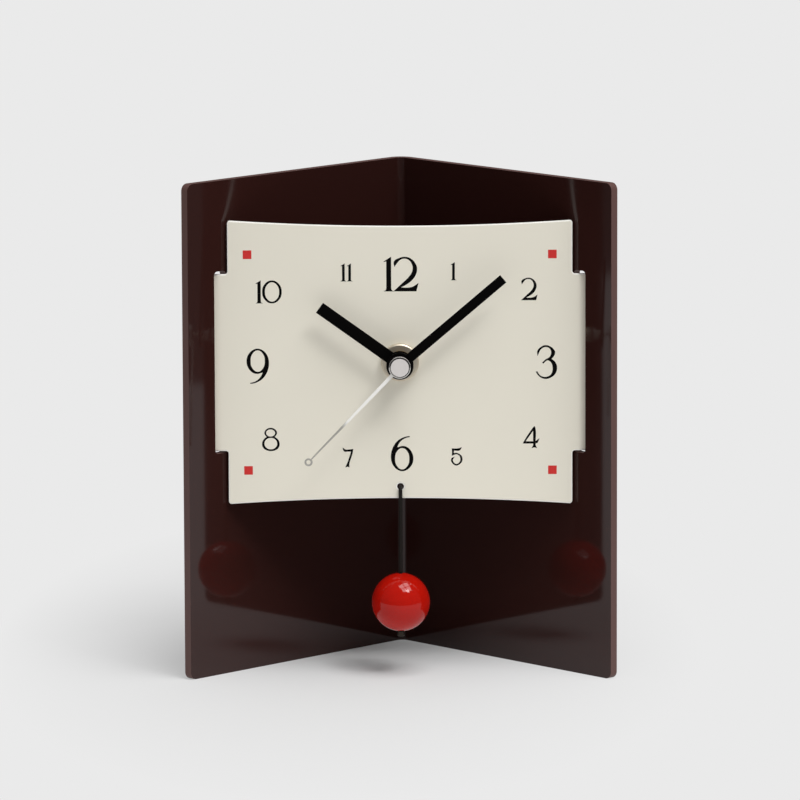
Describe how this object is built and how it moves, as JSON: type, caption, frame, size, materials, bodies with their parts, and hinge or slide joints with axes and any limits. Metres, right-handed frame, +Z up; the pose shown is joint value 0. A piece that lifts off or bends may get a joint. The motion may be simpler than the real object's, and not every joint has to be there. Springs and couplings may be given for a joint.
{
  "type": "desk clock",
  "caption": "Desk clock: a V-folded dark acrylic stand holds a cream dial by its side tabs, with a quartz movement behind it, black bar hands in front and a red ball pendulum that swings below.",
  "frame": {"origin": "middle of the clock's footprint, on the surface that it stands on", "axes": "+Z up, -Y the way the dial faces, +X to the right as seen from the front"},
  "size_m": [0.15, 0.0774, 0.1735],
  "materials": {
    "frame_acrylic": "gloss, mirror-like",
    "dial_cream": "satin",
    "bushing_brass": "turned",
    "nut_plated": "turned, plated",
    "washer_rubber": "matte",
    "hand_black": "satin black paint",
    "hand_pale": "satin",
    "cap_satin": "satin, bright rim",
    "case_black": "fine moulded texture",
    "train_plastic": "moulded",
    "magnet_grey": "sintered",
    "motor_iron": "stamped",
    "bobbin_white": "moulded",
    "winding_copper": "enamelled copper wire",
    "board_green": "solder mask",
    "chip_black": "resin drop",
    "crystal_can": "drawn can",
    "battery_wrap": "plain wrap",
    "contact_nickel": "nickel plated",
    "wire_black": "blackened steel",
    "ball_red": "high gloss"
  },
  "bodies": {
    "stand": {"v_frame": "frame_acrylic", "dial_plate": "dial_cream", "threaded_bushing": "bushing_brass", "dial_nut": "nut_plated", "rubber_washer": "washer_rubber", "front_case": "case_black", "rear_case": "case_black", "train_plate": "train_plastic", "stator_plate": "motor_iron", "coil_core": "motor_iron", "coil_bobbin": "bobbin_white", "coil_winding": "winding_copper", "circuit_board": "board_green", "control_chip": "chip_black", "quartz_crystal": "crystal_can", "battery_cell": "battery_wrap", "positive_contact": "contact_nickel", "negative_contact": "contact_nickel"},
    "second": {"second_wheel": "train_plastic", "second_hand": "hand_pale", "second_hand_cap": "cap_satin"},
    "minute": {"minute_wheel": "train_plastic", "minute_hand": "hand_black"},
    "hour": {"hour_wheel": "train_plastic", "hour_hand": "hand_black"},
    "third": {"third_wheel": "train_plastic"},
    "intermediate": {"intermediate_wheel": "train_plastic"},
    "rotor": {"rotor_arbor": "train_plastic", "rotor_magnet": "magnet_grey"},
    "minute_work": {"minute_work_wheel": "train_plastic"},
    "setting": {"setting_arbor": "train_plastic", "setting_knob": "case_black"},
    "pendulum": {"pendulum_wire": "wire_black", "pendulum_ball": "ball_red", "pendulum_end_nut": "wire_black"}
  },
  "joints": [
    {"name": "second_hand_spin", "type": "hinge", "parent": "stand", "child": "second", "pos_m": [0, -0.02492, 0.11], "axis": [0, 1, 0], "continuous": true},
    {"name": "minute_hand_spin", "type": "hinge", "parent": "stand", "child": "minute", "pos_m": [0, -0.02492, 0.11], "axis": [0, 1, 0], "continuous": true},
    {"name": "hour_hand_spin", "type": "hinge", "parent": "stand", "child": "hour", "pos_m": [0, -0.02492, 0.11], "axis": [0, 1, 0], "continuous": true},
    {"name": "third_wheel_spin", "type": "hinge", "parent": "stand", "child": "third", "pos_m": [-0.00619, -0.018, 0.11885], "axis": [0, 1, 0], "continuous": true},
    {"name": "intermediate_wheel_spin", "type": "hinge", "parent": "stand", "child": "intermediate", "pos_m": [0.00917, -0.018, 0.11642], "axis": [0, 1, 0], "continuous": true},
    {"name": "rotor_spin", "type": "hinge", "parent": "stand", "child": "rotor", "pos_m": [0.01845, -0.018, 0.11394], "axis": [0, 1, 0], "continuous": true},
    {"name": "minute_work_spin", "type": "hinge", "parent": "stand", "child": "minute_work", "pos_m": [-0.00789, -0.018, 0.10713], "axis": [0, 1, 0], "continuous": true},
    {"name": "setting_knob_spin", "type": "hinge", "parent": "stand", "child": "setting", "pos_m": [-0.01641, -0.005, 0.10941], "axis": [0, 1, 0], "continuous": true},
    {"name": "pendulum_swing", "type": "hinge", "parent": "stand", "child": "pendulum", "pos_m": [0, -0.02432, 0.06595], "axis": [0, 1, 0], "range_deg": [-60, 60]}
  ],
  "couplings": [
    {"joint": "minute_hand_spin", "follows": "second_hand_spin", "ratio": 0.016667},
    {"joint": "hour_hand_spin", "follows": "second_hand_spin", "ratio": 0.0013889},
    {"joint": "third_wheel_spin", "follows": "second_hand_spin", "ratio": -0.13333},
    {"joint": "intermediate_wheel_spin", "follows": "second_hand_spin", "ratio": -6},
    {"joint": "rotor_spin", "follows": "second_hand_spin", "ratio": 30},
    {"joint": "minute_work_spin", "follows": "second_hand_spin", "ratio": -0.0055556},
    {"joint": "setting_knob_spin", "follows": "second_hand_spin", "ratio": 0.013889}
  ]
}
